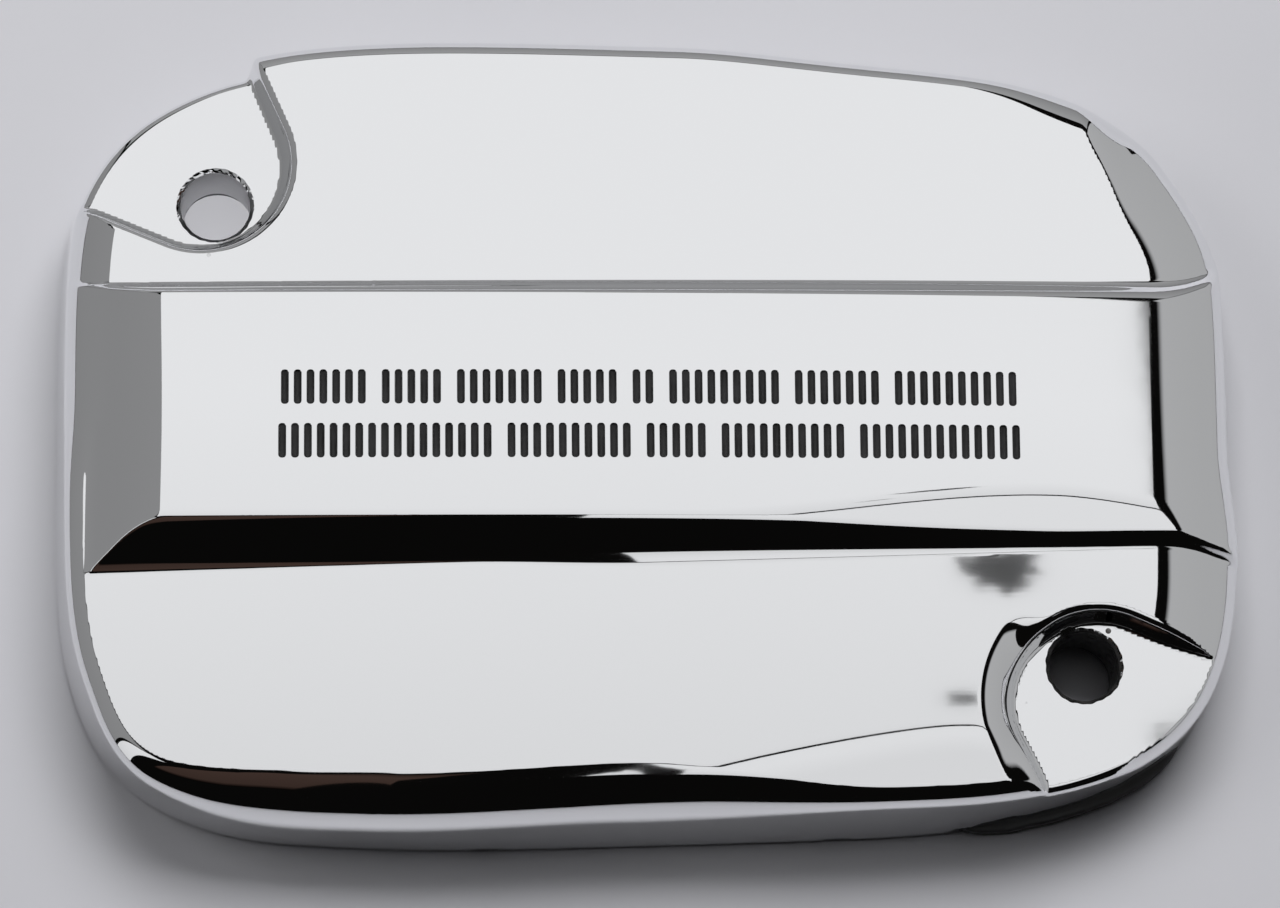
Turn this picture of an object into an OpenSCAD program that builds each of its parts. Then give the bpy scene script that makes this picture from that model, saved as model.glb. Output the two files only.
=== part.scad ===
// Fluid reservoir cover of a motorcycle brake master cylinder, with its rubber diaphragm.
// Millimetres. +X is the long way, +Y the rear, +Z up. The origin is on the resting plane, at the
// centre of the outline. The diaphragm flange rests on z = 0 and the chrome cover sits on the flange.

/* [Outline] */
// Overall length along X
cover_l = 92; // [88:0.5:96]
// Overall width along Y, half way along the length
cover_w = 62.8; // [59:0.2:66]
// Squareness of the outline: 2 is an ellipse, larger is squarer
outline_power = 4.15; // [3.6:0.05:5]
// How much each long side draws in towards the right end
side_taper = 0.84; // [0:0.02:1.5]
// How much fuller the front left corner of the outline is
corner_fullness = 0.6; // [0:0.05:0.8]
// How far the right half of the rear edge is drawn in
rear_draw_in = 1.35; // [0:0.05:1.6]

/* [Cover] */
// Height of the cover's rim above the resting plane
rim_z = 0.35; // [0.2:0.05:0.6]
// Height of the two side panels at the centre
crown_z = 12.1; // [11.5:0.1:13]
// Fall of the crown from the centre to the two ends
crown_fall_x = 1.24; // [0.6:0.02:1.6]
// Fall of the crown from the centre to the front and rear edges
crown_fall_y = 1.08; // [0.6:0.02:1.4]
// Lean of the skirt, as inward run for each millimetre of rise
skirt_lean = 0.12; // [0.11:0.01:0.14]
// How much less the skirt leans at the two front corners
corner_upright = 0.1; // [0.05:0.01:0.1]
// Radius of the rolled edge between skirt and side panels at the left end, behind the band
edge_r = 3.6; // [2.4:0.1:4]
// Radius of the same edge along the middle of the front
front_edge_r = 4.1; // [2.4:0.1:4.4]
// Radius of the same edge at the front corners
end_edge_r = 1.5; // [1.4:0.1:2.4]
// Radius of the same edge along the rear
rear_edge_r = 1.45; // [1.2:0.05:2.4]
// Height at which the bevel at the right end of the side panels would meet the outline
end_bevel_z = 8.3; // [8:0.1:9]
// Height at which the bevel by the right-hand ear would meet the front of the outline
front_bevel_z = 9.66; // [9.4:0.02:10]
// Thickness of the cover's roof
roof_t = 2; // [1.8:0.1:2.2]
// Width of the lip that closes round the diaphragm flange
lip_w = 1.8; // [1.4:0.1:2.2]
// Width of the whole rim, lip and gasket seat together
seat_w = 5.2; // [4.6:0.1:6]

/* [Raised band] */
// Height of the band over the side panels, half way along
band_h = 1.45; // [1.2:0.05:1.6]
// Loss of that height for each millimetre to the right
band_h_fall = 0.0125; // [0:0.0005:0.016]
// Height at which the bevel at each end of the band would meet the outline
bevel_z = 9.2; // [8.8:0.1:9.6]
// Rise of that bevel for each millimetre inwards
bevel_rise = 0.55; // [0.45:0.01:0.65]
// Softness of the edge between bevel and top
bevel_blend = 1; // [0.6:0.1:2]
// Radius of the rolled edge between bevel and skirt
band_edge_r = 1.4; // [1:0.1:2]
// Rear foot of the band
band_rear_y = 10.9; // [10:0.1:11.5]
// Front foot of the band
band_front_y = -10.7; // [-11.5:0.1:-10]
// Run of the rear wall of the band
band_rear_run = 0.9; // [0.6:0.1:1.4]
// Run of the front wall of the band
band_front_run = 2.6; // [2:0.1:3.2]

/* [Screw ears] */
// Hole centres along X, from the middle between them
hole_x = 33.45; // [32.5:0.05:34]
// Hole centres along Y, from the middle between them
hole_y = 18.2; // [17.5:0.05:18.8]
// Distance of that middle to the front of the outline's centre
pattern_y = 0.5; // [0:0.1:1]
// Diameter of the screw holes
hole_d = 5.4; // [5.2:0.1:5.8]
// Diameter of the countersunk edge of each hole
hole_edge_d = 6; // [5.9:0.1:6.6]
// Height of the flat seats under the screw heads
ear_z = 8.8; // [8.2:0.1:9.4]
// Corner radius of the recess cut down to each ear
ear_recess_r = 6.8; // [6.2:0.1:7.2]
// How far the rear of the skirt round the left-hand ear is drawn in
ear_draw_in = 1.5; // [0.3:0.05:1.6]

/* [Caution marks] */
// Height of the marks in each of the two rows
mark_h = 2.6; // [2.4:0.05:2.8]
// Width of one mark
mark_w = 0.5; // [0.35:0.05:0.6]
// Pitch of the marks
mark_pitch = 0.98; // [0.9:0.02:1.1]
// Depth of the marks under the surface
mark_depth = 0.4; // [0.3:0.05:0.6]

/* [Diaphragm] */
// Thickness of the flange
flange_t = 2; // [1.8:0.1:2.2]
// Clearance between the flange and the lip
flange_gap = 0.3; // [0.2:0.05:0.4]
// Half length of the bellows opening
bellows_a = 31; // [29:0.5:31]
// Half width of the bellows opening
bellows_b = 20; // [18:0.5:20]
// Rubber thickness of the bellows wall
bellows_t = 0.7; // [0.6:0.05:0.8]
// Height of one fold
fold_h = 0.7; // [0.6:0.05:0.75]
// Depth of one fold
fold_w = 1.5; // [1.2:0.1:1.6]
// Thickness of the moving floor
floor_t = 0.9; // [0.8:0.1:1]

/* [Hidden] */
$fn = 64;
spokes = 96;
half_l = cover_l / 2;
half_w = cover_w / 2;
hole_r = hole_d / 2;
hole_edge_r = hole_edge_d / 2;
high = 30;
eps = 0.01;
folds = 5;
bellows_z = 1;
floor_z = bellows_z + folds * fold_h;
seat_z = flange_t;
cavity_blend = 3;
cavity_lean = 0.26;
boss_wall = 2.1;
front_bevel_rise = 0.24;
// The lip is lifted round the right-hand ear, where the rubber looks out under the chrome
arch_r = 11.5;
arch_z = 1.3;
arch_shift = [-2.5, -2.5];
ear_overhang = 0.6;
// How far the left end of the skirt round the left-hand ear is drawn in
ear_end_draw_in = 0.25;
// Direction of the middle of that ear and half the angle it spans, seen from the centre
left_ear_dir = 146;
ear_span = 11;
flange_hole_r = hole_r + 0.3;
// Corner of the recess relative to the hole, and the two directions its walls face
recess_corner = [-1.04, 2.89];
wall_dir_a = 23.5;
wall_dir_b = 246.9;
recess_reach = 40;
// Two breather notches in the front of the lip
notch_x = [-12.5, 14.7];
notch_w = 1.6;
notch_h = 0.4;
// Marks in each group of a row, and the middle height of the two rows
upper_groups = [7, 5, 7, 5, 2, 9, 7, 10];
lower_groups = [17, 10, 5, 10, 13];
group_gap = 0.85;
upper_y = 2.25;
lower_y = -1.95;

function smooth_step(low, high, x) =
    let (t = min(max((x - low) / (high - low), 0), 1))
    t * t * (3 - 2 * t);

// Distance from the centre to the outline in direction a
function outline_r(a) =
    let (width = half_w - side_taper * cos(a))
    pow(pow(abs(cos(a)) / half_l, outline_power) + pow(abs(sin(a)) / width, outline_power),
        -1 / outline_power)
    - rear_draw_in * smooth_step(0.08, 0.69, cos(a)) * smooth_step(0.26, 0.46, sin(a))
    + corner_fullness * smooth_step(16, 2, abs(a - 219));

// Cosine of the angle between the spoke and the outline's own normal
function outline_cos(a) =
    let (rate = (outline_r(a + 0.5) - outline_r(a - 0.5)) * 180 / PI / outline_r(a))
    1 / sqrt(1 + rate * rate);

// Distance from the centre to the bellows opening in direction a
function bellows_r(a) = pow(pow(abs(cos(a)) / bellows_a, 3) + pow(abs(sin(a)) / bellows_b, 3), -1 / 3);

function soft_min(a, b, k) = min(a, b) - pow(max(k - abs(a - b), 0), 2) / (4 * k);
function side_top(x, y) = crown_z - crown_fall_x * pow(x / half_l, 2) - crown_fall_y * pow(y / half_w, 2);
function band_top(x, y) = side_top(x, y) + band_h - band_h_fall * x;
function spoke(j) = 360 * j / spokes;

// Lean of the skirt in direction a, and how far the left-hand ear draws it in
function lean(a) = skirt_lean - corner_upright * (
    0.8 * smooth_step(205, 216, a) * smooth_step(265, 228, a)
    + smooth_step(300, 335, a) * smooth_step(358, 346, a));
function ear_draw(a) = smooth_step(ear_span + 2, ear_span - 2, abs(a - left_ear_dir))
    * (ear_end_draw_in + (ear_draw_in - ear_end_draw_in) * smooth_step(0.3, 0.6, sin(a)));

// Height, at step in from the skirt's foot, of a crown whose edge rolls over by radius r into the skirt
function rolled_edge(top, step, lean, r) =
    let (centre_z = top - r, slant = sqrt(1 + lean * lean),
         centre = lean * (centre_z - rim_z) + r * slant,
         foot = centre - r / slant,
         reach = min(max(centre - step, 0), centre - foot))
    centre_z + sqrt(r * r - reach * reach) - max(foot - step, 0) / lean;

// Side panels with their two bevels: one at the right end, one along the front by the right-hand ear
function end_bevel(x, a, step) = end_bevel_z + bevel_rise * step + 8 * smooth_step(38, 24, x)
    + 4 * smooth_step(0.52, 0.85, sin(a));
function front_bevel(x, a, step) = front_bevel_z + front_bevel_rise * step + 0.02 * (x - 25)
    + 0.067 * (norm([x - 25, 3]) - 3) + 8 * smooth_step(0.7, 0.3, -sin(a));
function side_crown(x, y, a, step) =
    min(soft_min(side_top(x, y), end_bevel(x, a, step), bevel_blend), front_bevel(x, a, step));
function side_edge_r(x, a) =
    let (front = end_edge_r + (front_edge_r - end_edge_r) * smooth_step(-42, -28, x) * smooth_step(19, -2, x),
         side = front + (edge_r - front) * smooth_step(-0.2, 0.2, sin(a)),
         r = side + (rear_edge_r - side) * smooth_step(0.5, 0.74, sin(a)))
    r + (band_edge_r - r) * smooth_step(30, 40, x);

// Heights of the three domes the cover is made from
function side_z(x, y, a, step) = rolled_edge(side_crown(x, y, a, step), step, lean(a), side_edge_r(x, a));
function band_crown(x, y, step) = soft_min(band_top(x, y), bevel_z + bevel_rise * step, bevel_blend);
function band_z(x, y, a, step) = rolled_edge(band_crown(x, y, step), step, lean(a), band_edge_r);
function cavity_z(x, y, step) =
    soft_min(side_top(x, y) - roof_t, seat_z - eps + step / cavity_lean, cavity_blend);

function total(list, n) = n == 0 ? 0 : list[n - 1] + total(list, n - 1);

// Plan of the skirt's foot, drawn in by inset
module outline(inset) {
    polygon([for (j = [0 : spokes - 1])
        let (a = spoke(j), r = outline_r(a) - (inset + ear_draw(a)) / outline_cos(a))
        [r * cos(a), r * sin(a)]]);
}

// Plan outline of the bellows, drawn in by inset
module bellows_outline(inset) {
    polygon([for (j = [0 : spokes - 1]) let (a = spoke(j), r = bellows_r(a) - inset)
        [r * cos(a), r * sin(a)]]);
}

// Solid dome over the outline, built from rings of points at steps in from its foot. kind is
// "side", "band" or "cavity".
module dome(kind) {
    steps = kind == "side" ? [0, 0.35, 0.95, 1.2, 1.55, 2.1, 2.8, 3.7, 4.8, 6.2, 11, 20]
        : kind == "band" ? [0, 0.95, 1.15, 1.5, 2, 2.6, 4, 5.2, 6, 6.8, 8, 12, 20]
        : [0, 1, 1.7, 2.2, 2.8, 3.4, 4.2, 6, 11, 20];
    rings = len(steps);
    points = [for (step = steps, j = [0 : spokes - 1])
        let (a = spoke(j), first = kind == "cavity" ? seat_w : ear_draw(a),
             r = outline_r(a) - (first + step) / outline_cos(a),
             x = r * cos(a), y = r * sin(a))
        [x, y, kind == "side" ? side_z(x, y, a, step) : kind == "band" ? band_z(x, y, a, step)
            : cavity_z(x, y, step)]];
    apex_z = kind == "side" ? crown_z : kind == "band" ? crown_z + band_h : crown_z - roof_t;
    polyhedron(
        points = concat(points, [[0, 0, apex_z]]),
        faces = concat(
            [[for (j = [0 : spokes - 1]) j]],
            [for (k = [0 : rings - 2], j = [0 : spokes - 1])
                let (n = (j + 1) % spokes, p = k * spokes, q = p + spokes) [p + n, p + j, q + j]],
            [for (k = [0 : rings - 2], j = [0 : spokes - 1])
                let (n = (j + 1) % spokes, p = k * spokes, q = p + spokes) [p + n, q + j, q + n]],
            [for (j = [0 : spokes - 1])
                let (p = (rings - 1) * spokes) [p + (j + 1) % spokes, p + j, rings * spokes]]));
}

// The object's two screw ears are the same shape, half a turn apart
module at_ears() {
    translate([0, -pattern_y, 0]) for (turn = [0, 180]) rotate(turn)
        translate([-hole_x, hole_y, 0]) children();
}

// Middle of the lifted part of the lip
module at_arch() {
    translate([hole_x + arch_shift[0], arch_shift[1] - hole_y - pattern_y, 0]) children();
}

// Plan of the recess over an ear: a round corner with a straight wall running out on each side
module ear_plan(grow) {
    r = ear_recess_r + grow;
    wall_a = r * [cos(wall_dir_a), sin(wall_dir_a)];
    wall_b = r * [cos(wall_dir_b), sin(wall_dir_b)];
    translate(recess_corner) {
        circle(r);
        polygon([
            [0, 0],
            wall_b,
            wall_b + recess_reach * [cos(wall_dir_b - 90), sin(wall_dir_b - 90)],
            [-recess_reach, recess_reach],
            wall_a + recess_reach * [cos(wall_dir_a + 90), sin(wall_dir_a + 90)],
            wall_a]);
    }
}

// Trapezium that trims the raised band to its front and rear walls
module band_prism() {
    rise = crown_z + band_h + 1;
    front_run = band_front_run * (rise - crown_z + 1) / band_h;
    rear_run = band_rear_run * (rise - crown_z + 1) / band_h;
    rotate([90, 0, 90]) linear_extrude(cover_l + 2, center = true) polygon([
        [band_front_y - band_front_run / band_h, rim_z],
        [band_front_y - band_front_run / band_h, crown_z - 1],
        [band_front_y - band_front_run / band_h + front_run, rise],
        [band_rear_y + band_rear_run / band_h - rear_run, rise],
        [band_rear_y + band_rear_run / band_h, crown_z - 1],
        [band_rear_y + band_rear_run / band_h, rim_z]]);
}

// One row of upright marks in groups, each reaching from depth under the surface to lift over it
module mark_row(groups, row_y, lift) {
    row_l = total(groups, len(groups)) * mark_pitch + (len(groups) - 1) * group_gap;
    for (g = [0 : len(groups) - 1], m = [0 : groups[g] - 1]) {
        x = (total(groups, g) + m + 0.5) * mark_pitch + g * group_gap - row_l / 2;
        translate([x - mark_w / 2, row_y - mark_h / 2, band_top(x, row_y) - mark_depth])
            cube([mark_w, mark_h, mark_depth + lift]);
    }
}

// Chrome-plated casting: two side panels, a raised band between them, and two sunk screw ears
module cover_shell() {
    color("gainsboro") difference() {
        union() {
            dome("side");
            intersection() {
                dome("band");
                band_prism();
            }
        }
        // Hollow under the roof, which leaves the ears standing as solid bosses
        difference() {
            dome("cavity");
            at_ears() linear_extrude(high) ear_plan(boss_wall);
        }
        // Seat for the diaphragm flange inside the lip
        translate([0, 0, -eps]) linear_extrude(seat_z + eps) outline(lip_w);
        // Lifted lip round the right-hand ear
        at_arch() translate([0, 0, -eps]) cylinder(r = arch_r, h = arch_z);
        // Recesses down to the screw seats, and the screw holes
        at_ears() translate([0, 0, ear_z]) linear_extrude(high) ear_plan(0);
        at_ears() translate([0, 0, -eps]) cylinder(r = hole_r, h = high);
        at_ears() translate([0, 0, ear_z - (hole_edge_r - hole_r)])
            cylinder(r1 = hole_r, r2 = hole_edge_r + eps, h = hole_edge_r - hole_r + eps);
        for (x = notch_x) translate([x - notch_w / 2, -high - half_w / 2, -eps])
            cube([notch_w, high, rim_z + notch_h]);
        mark_row(upper_groups, upper_y, 1);
        mark_row(lower_groups, lower_y, 1);
    }
}

// Black enamel in the cut marks
module mark_fill_upper_row() {
    color("black") mark_row(upper_groups, upper_y, -0.05);
}

module mark_fill_lower_row() {
    color("black") mark_row(lower_groups, lower_y, -0.05);
}

// Flat rubber flange that seals the reservoir, with one ear that reaches out under the chrome
module diaphragm_flange() {
    color("dimgray") difference() {
        union() {
            linear_extrude(flange_t) outline(lip_w + flange_gap);
            intersection() {
                linear_extrude(arch_z - flange_gap) outline(-ear_overhang);
                at_arch() cylinder(r = arch_r - flange_gap, h = flange_t);
            }
        }
        translate([0, 0, -eps]) linear_extrude(flange_t + 2 * eps) bellows_outline(-bellows_t / 2);
        at_ears() translate([0, 0, -eps]) cylinder(r = flange_hole_r, h = flange_t + 2 * eps);
    }
}

// Folded rubber wall between the flange and the moving floor
module diaphragm_bellows() {
    side = folds + 1;
    section = concat(
        [for (k = [0 : folds]) [k % 2 * fold_w - bellows_t / 2, bellows_z + k * fold_h]],
        [for (k = [folds : -1 : 0]) [k % 2 * fold_w + bellows_t / 2, bellows_z + k * fold_h]]);
    n = 2 * side;
    color("black") polyhedron(
        points = [for (j = [0 : spokes - 1], p = section)
            let (a = spoke(j), r = bellows_r(a) - p[0]) [r * cos(a), r * sin(a), p[1]]],
        faces = concat(
            [for (j = [0 : spokes - 1], k = [0 : n - 1])
                let (p = j * n, q = (j + 1) % spokes * n, m = (k + 1) % n) [p + k, p + m, q + m]],
            [for (j = [0 : spokes - 1], k = [0 : n - 1])
                let (p = j * n, q = (j + 1) % spokes * n, m = (k + 1) % n) [p + k, q + m, q + k]]));
}

// Flat moving floor of the diaphragm, which rises and sinks with the fluid
module diaphragm_floor() {
    color("black") translate([0, 0, floor_z]) linear_extrude(floor_t) bellows_outline(fold_w - bellows_t / 2);
}

cover_shell();
mark_fill_upper_row();
mark_fill_lower_row();
diaphragm_flange();
diaphragm_bellows();
diaphragm_floor();
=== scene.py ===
"""Looks of a chrome brake fluid reservoir cover and its rubber diaphragm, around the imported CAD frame.

The cover and the flange are the zero level of a formula, meshed finely. The other pieces are swept rings.
"""
import math

import bpy
import numpy as np
from mathutils import Matrix, Vector


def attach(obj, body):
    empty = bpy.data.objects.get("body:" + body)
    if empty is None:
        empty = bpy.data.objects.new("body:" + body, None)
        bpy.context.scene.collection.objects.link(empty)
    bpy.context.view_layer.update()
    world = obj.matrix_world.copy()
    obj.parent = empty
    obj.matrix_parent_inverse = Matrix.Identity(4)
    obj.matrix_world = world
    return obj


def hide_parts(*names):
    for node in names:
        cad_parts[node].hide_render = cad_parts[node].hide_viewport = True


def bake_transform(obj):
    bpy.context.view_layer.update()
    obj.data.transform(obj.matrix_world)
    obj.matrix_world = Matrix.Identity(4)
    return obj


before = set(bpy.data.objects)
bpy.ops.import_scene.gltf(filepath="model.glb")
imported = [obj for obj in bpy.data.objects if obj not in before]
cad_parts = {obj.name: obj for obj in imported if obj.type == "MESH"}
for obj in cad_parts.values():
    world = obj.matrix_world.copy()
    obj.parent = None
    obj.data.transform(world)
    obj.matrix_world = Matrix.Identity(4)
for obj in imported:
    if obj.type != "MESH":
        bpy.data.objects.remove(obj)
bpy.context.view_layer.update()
scene = bpy.context.scene

# Lengths below are in millimetres, in the CAD frame: +X along the cover, +Y rear, +Z up.
MM = 0.001

# ---------------------------------------------------------------- driving dimensions
# Outline: a squared-off ellipse that narrows to the right, fuller at the front left corner
HALF_L = 46.0
HALF_W = 31.4
OUTLINE_POWER = 4.15
SIDE_TAPER = 0.84
REAR_DRAW_IN = 1.35
CORNER_FULLNESS = 0.6
FULL_CORNER_AT = 219

# Crown and skirt; a lean is the inward run per mm of rise
RIM_Z = 0.35
CROWN_Z = 12.1
CROWN_FALL_X = 1.24
CROWN_FALL_Y = 1.08
LEAN = 0.12
CORNER_UPRIGHT = 0.1
EAR_DRAW_IN = 1.5

# Rolled edge between skirt and side panels: rear left, front, front corners, rear
EDGE_R = 3.6
FRONT_EDGE_R = 4.1
END_EDGE_R = 1.5
REAR_EDGE_R = 1.45

# Bevels of the side panels, with their heights at the outline
END_BEVEL_Z = 8.3
FRONT_BEVEL_Z = 9.66
FRONT_BEVEL_RISE = 0.24
FRONT_BEVEL_X = 25.0

# Raised band: its height, its rolled edge, the bevels at its two ends, its walls and its front facet
BAND_H = 1.45
BAND_H_FALL = 0.0125
BAND_EDGE_R = 1.4
BEVEL_Z = 9.2
BEVEL_RISE = 0.55
BEVEL_BLEND = 1.0
REAR_FOOT_Y = 10.8
REAR_WALL_RUN = 0.8
FRONT_FOOT_Y = -10.46
FRONT_FOOT_SLOPE = 0.0242
FRONT_EDGE_Y = -7.95
FRONT_EDGE_SHIFT = 0.95
FACET_W = 2.8
FACET_SLOPE = 0.17

# Underside
ROOF_T = 2.0
LIP_W = 1.8
SEAT_W = 5.2
SEAT_Z = 2.0
CAVITY_LEAN = 0.26
BOSS_WALL = 2.1
NOTCH_X = (-12.5, 14.7)
NOTCH_HALF_W = 0.8
NOTCH_H = 0.4

# Screw holes and the recesses round them
HOLES = (np.array([-33.45, 17.7]), np.array([33.45, -18.7]))
HOLE_R = 2.7
HOLE_EDGE_R = 3.0
EAR_Z = 8.8
EAR_R = 6.8
EAR_CORNER = np.array([-1.04, 2.89])
EAR_DIR_A = math.radians(23.5)
EAR_DIR_B = math.radians(246.9)
EAR_FILLET_R = 0.65
EAR_WALL_SLOPE = 4.5
EAR_EDGE_R = 0.8

# The rim is lifted in an arch round the right-hand ear, where the rubber looks out
ARCH_R = 11.5
ARCH_CENTRE = HOLES[1] - 2.5
ARCH_Z = 1.3

GRID = 0.2


def soft_min(a, b, k):
    """The smaller of a and b, rounded off where they are less than k apart."""
    return np.minimum(a, b) - np.maximum(k - np.abs(a - b), 0) ** 2 / (4 * k)


def soft_max(a, b, k):
    return -soft_min(-a, -b, k)


def smooth_step(low, high, x):
    t = np.clip((x - low) / (high - low), 0, 1)
    return t * t * (3 - 2 * t)


# ---------------------------------------------------------------- plan and height fields
def outline_r(a):
    """Distance from the centre to the outline, in the direction a."""
    width = HALF_W - SIDE_TAPER * np.cos(a)
    squared = (np.abs(np.cos(a)) / HALF_L) ** OUTLINE_POWER + (np.abs(np.sin(a)) / width) ** OUTLINE_POWER
    r = squared ** (-1 / OUTLINE_POWER)
    r = r - REAR_DRAW_IN * smooth_step(0.08, 0.69, np.cos(a)) * smooth_step(0.26, 0.46, np.sin(a))
    return r + CORNER_FULLNESS * smooth_step(16, 2, np.abs(np.degrees(a) % 360 - FULL_CORNER_AT))


def outline_inset(x, y):
    """Distance in from the outline, and the direction from the centre."""
    a = np.arctan2(y, x)
    step = 0.004
    r = outline_r(a)
    rate = (outline_r(a + step) - outline_r(a - step)) / (2 * step * r)
    return (r - np.hypot(x, y)) / np.sqrt(1 + rate * rate), a


def side_top(x, y):
    """Height of the side panels' gentle crown."""
    return CROWN_Z - CROWN_FALL_X * (x / HALF_L) ** 2 - CROWN_FALL_Y * (y / HALF_W) ** 2


def ear_distance(x, y):
    """Signed distance to the nearer ear recess in plan, negative inside it."""
    best = None
    for turn, hole in zip((1, -1), HOLES):
        qx = turn * (x - hole[0]) - EAR_CORNER[0]
        qy = turn * (y - hole[1]) - EAR_CORNER[1]
        across_a = qx * math.cos(EAR_DIR_A) + qy * math.sin(EAR_DIR_A)
        along_a = -qx * math.sin(EAR_DIR_A) + qy * math.cos(EAR_DIR_A)
        across_b = qx * math.cos(EAR_DIR_B) + qy * math.sin(EAR_DIR_B)
        along_b = qx * math.sin(EAR_DIR_B) - qy * math.cos(EAR_DIR_B)
        rho = np.hypot(qx, qy)
        wall_a = np.where(along_a > 0, np.abs(across_a), rho)
        wall_b = np.where(along_b > 0, np.abs(across_b), rho)
        inside = (across_a < 0) & (across_b < 0)
        d = np.where(inside, -1.0, 1.0) * np.minimum(wall_a, wall_b) - EAR_R
        best = d if best is None else np.minimum(best, d)
    return best


def hole_distance(x, y):
    return np.minimum(*(np.hypot(x - hole[0], y - hole[1]) for hole in HOLES))


def rolled_edge(top, inset, lean, radius):
    """Height of a crown whose edge rolls over by radius into a skirt that leans by lean per mm of rise."""
    centre_z = top - radius
    centre = lean * (centre_z - RIM_Z) + radius * np.sqrt(1 + lean ** 2)
    foot = centre - radius / np.sqrt(1 + lean ** 2)
    reach = np.clip(centre - inset, 0, centre - foot)
    return centre_z + np.sqrt(radius ** 2 - reach ** 2) - np.maximum(foot - inset, 0) / lean


def skirt_draw_in(x, y, a, ear):
    """How far the skirt stands inside the outline: most of all behind the left-hand ear."""
    left = smooth_step(0.7, -1.0, ear) * EAR_DRAW_IN * smooth_step(0.3, 0.6, np.sin(a))
    return np.where(x > 0, 0.15 * smooth_step(20, 42, x) * smooth_step(0, 8, y), left)


def skirt_lean(a):
    """Inward run of the skirt per mm of rise; the two front corners stand almost upright."""
    turn = np.degrees(a) % 360
    left = smooth_step(205, 216, turn) * smooth_step(265, 228, turn)
    right = smooth_step(300, 335, turn) * smooth_step(358, 346, turn)
    return LEAN - CORNER_UPRIGHT * (0.8 * left + right)


def side_edge_radius(x, y, a, ear):
    """Radius of the rolled edge round the side panels."""
    front = END_EDGE_R + (FRONT_EDGE_R - END_EDGE_R) * smooth_step(-42, -28, x) * smooth_step(19, -2, x)
    radius = front + (EDGE_R - front) * smooth_step(-6, 6, y)
    rear = np.maximum(smooth_step(0.5, 0.74, np.sin(a)), smooth_step(0.7, -1.0, ear))
    return radius + (REAR_EDGE_R - radius) * rear


def side_panels(x, y, a, inset, draw_in, ear, low):
    """Height of the two side panels, with their bevels and the rolled edge down to the skirt."""
    end_bevel = END_BEVEL_Z + BEVEL_RISE * inset
    end_bevel = end_bevel + 8 * smooth_step(38, 24, x) + 4 * smooth_step(0.52, 0.85, np.sin(a))
    top = soft_min(low, end_bevel, BEVEL_BLEND)
    along = x - FRONT_BEVEL_X
    front_bevel = FRONT_BEVEL_Z + FRONT_BEVEL_RISE * inset + 0.02 * along + 0.067 * (np.hypot(along, 3) - 3)
    front_bevel += 8 * smooth_step(0.7, 0.3, -np.sin(a))
    top = soft_min(top, front_bevel, 0.25)
    radius = side_edge_radius(x, y, a, ear)
    radius = radius + (BAND_EDGE_R - radius) * smooth_step(30, 40, x)
    return rolled_edge(top, inset - draw_in, skirt_lean(a), radius)


def raised_band(x, y, a, inset, low):
    """Height of the band, with a bevel at each end, a facet along its front edge and two sloping walls."""
    height = BAND_H - BAND_H_FALL * x
    top = soft_min(low + height, BEVEL_Z + BEVEL_RISE * inset, BEVEL_BLEND)
    front_foot = FRONT_FOOT_Y + FRONT_FOOT_SLOPE * x
    front_edge = FRONT_EDGE_Y - FRONT_EDGE_SHIFT * smooth_step(-5, 50, x)
    facet = FACET_W * smooth_step(2, 31, x) * (1 - 0.55 * smooth_step(31, 46, x))
    top = soft_min(top, low + height + FACET_SLOPE * (y - front_edge - facet), 0.12)
    band = rolled_edge(top, inset, skirt_lean(a), BAND_EDGE_R)
    front_wall = low + (y - front_foot) * height / (front_edge - front_foot)
    rear_wall = low + (REAR_FOOT_Y - y) * height / REAR_WALL_RUN
    band = soft_min(band, front_wall, 0.15 + 0.5 * smooth_step(-5, 40, x))
    return soft_min(band, rear_wall, 0.8)


def ear_recess(x, y, a, inset, ear, crown):
    """Height of an ear's flat seat and of the wall down to it; the wall's top edge is rounded."""
    # Left of the right-hand ear that rounding is much broader.
    fillet = EAR_FILLET_R + 2.0 * smooth_step(0, 10, x) * smooth_step(31, 27, x) * smooth_step(-8.5, -13.5, y)
    reach = np.clip(fillet - ear, 0, fillet)
    wall = crown - fillet + np.sqrt(fillet ** 2 - reach ** 2) - EAR_WALL_SLOPE * np.maximum(-ear, 0)
    seat = rolled_edge(np.full_like(wall, EAR_Z), inset, skirt_lean(a), EAR_EDGE_R)
    return soft_max(wall, seat, 1.8)


def fields(x, y):
    """What depends on plan position only: crown, hollow, distance to an ear, distance in from the skirt."""
    inset, a = outline_inset(x, y)
    ear = ear_distance(x, y)
    low = side_top(x, y)
    draw_in = skirt_draw_in(x, y, a, ear)
    side = side_panels(x, y, a, inset, draw_in, ear, low)
    band = raised_band(x, y, a, inset, low)
    crown = soft_max(side, band, np.where(y < 0, 0.25 + 0.35 * smooth_step(-15, 0, x), 0.6))
    crown = np.minimum(crown, ear_recess(x, y, a, inset - draw_in, ear, crown))
    hollow = soft_min(low - ROOF_T, SEAT_Z + (inset - SEAT_W) / CAVITY_LEAN, 3.0)
    return crown, hollow, ear, inset - draw_in


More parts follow.
